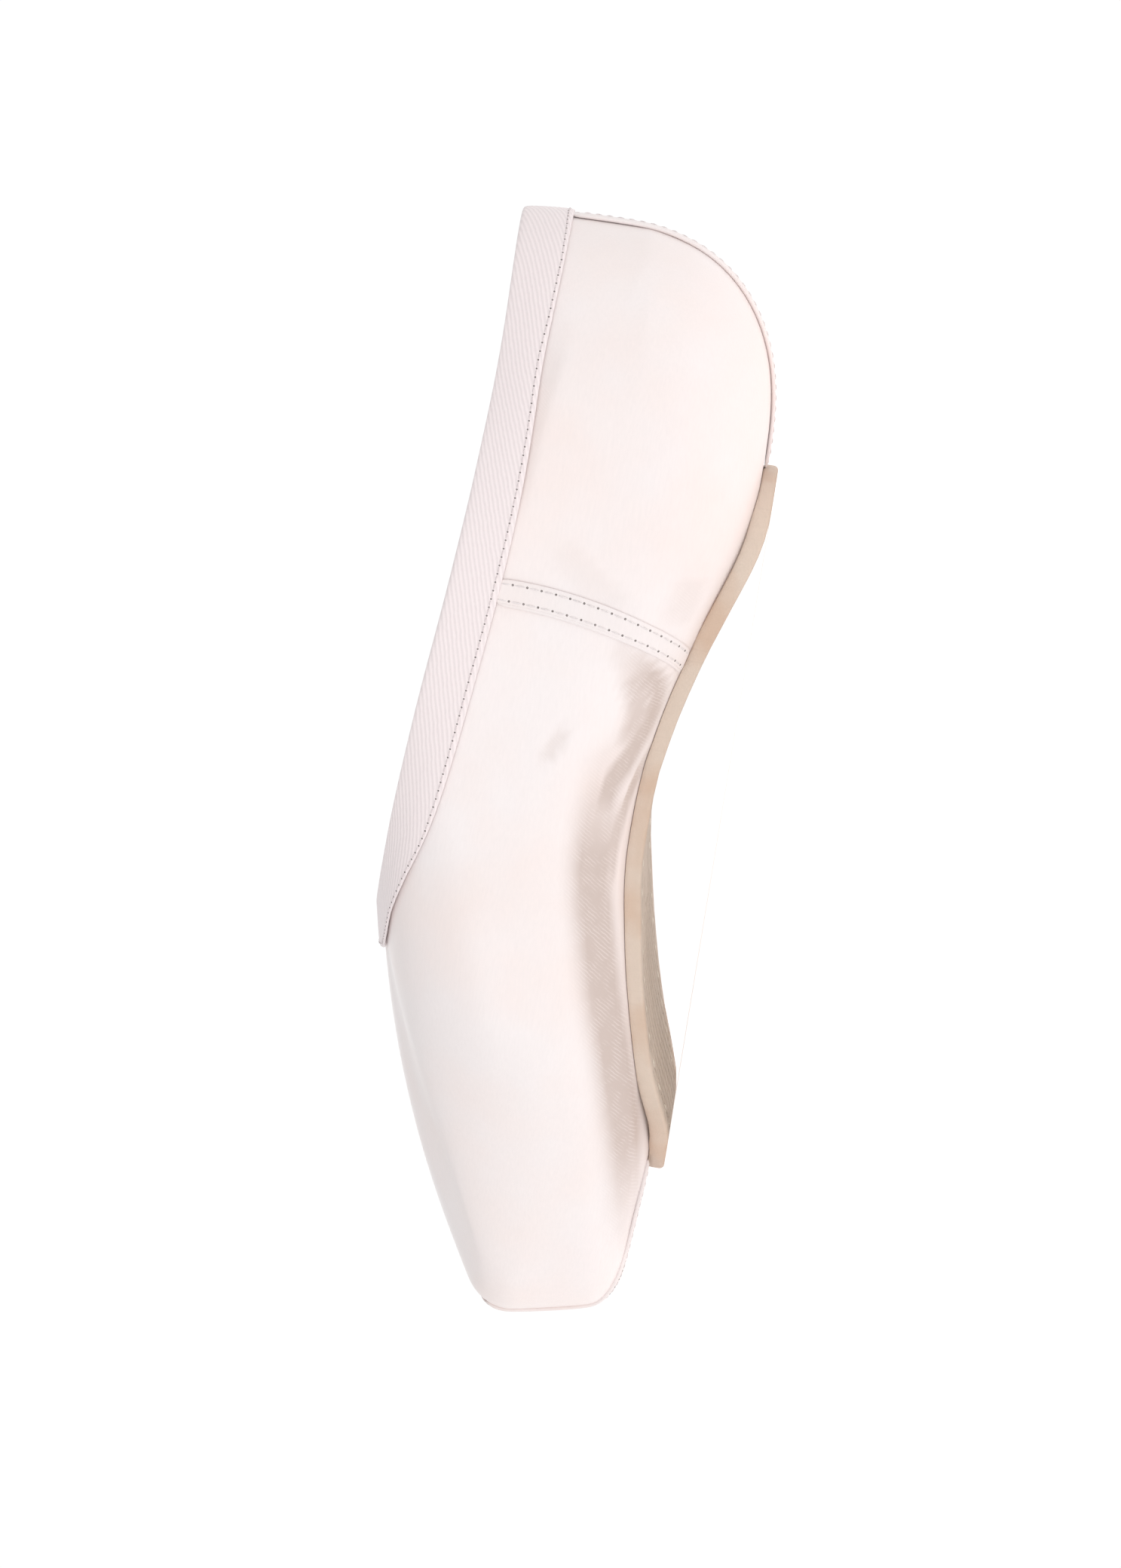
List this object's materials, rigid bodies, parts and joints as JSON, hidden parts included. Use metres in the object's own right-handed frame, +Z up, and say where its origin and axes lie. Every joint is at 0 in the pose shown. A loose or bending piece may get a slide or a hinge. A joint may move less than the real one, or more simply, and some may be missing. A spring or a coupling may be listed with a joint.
{
  "type": "pointe shoe",
  "caption": "Pale pink satin pointe shoe with a boxed toe, twill binding and a stitched leather outsole, standing empty.",
  "frame": {"origin": "on the floor, under the middle of the shoe's box", "axes": "+X to the toe, +Y to the shoe's left, +Z up"},
  "size_m": [0.2456, 0.084, 0.0721],
  "materials": {
    "satin": "satin",
    "twill": "matte",
    "leather": "matte",
    "insole_board": "matte"
  },
  "bodies": {
    "root": {"upper": "satin", "binding": "twill", "side_seam_left": "satin", "side_seam_right": "satin", "back_seam": "satin", "toe_panel": "satin", "outsole": "leather", "insole": "insole_board"}
  },
  "joints": []
}
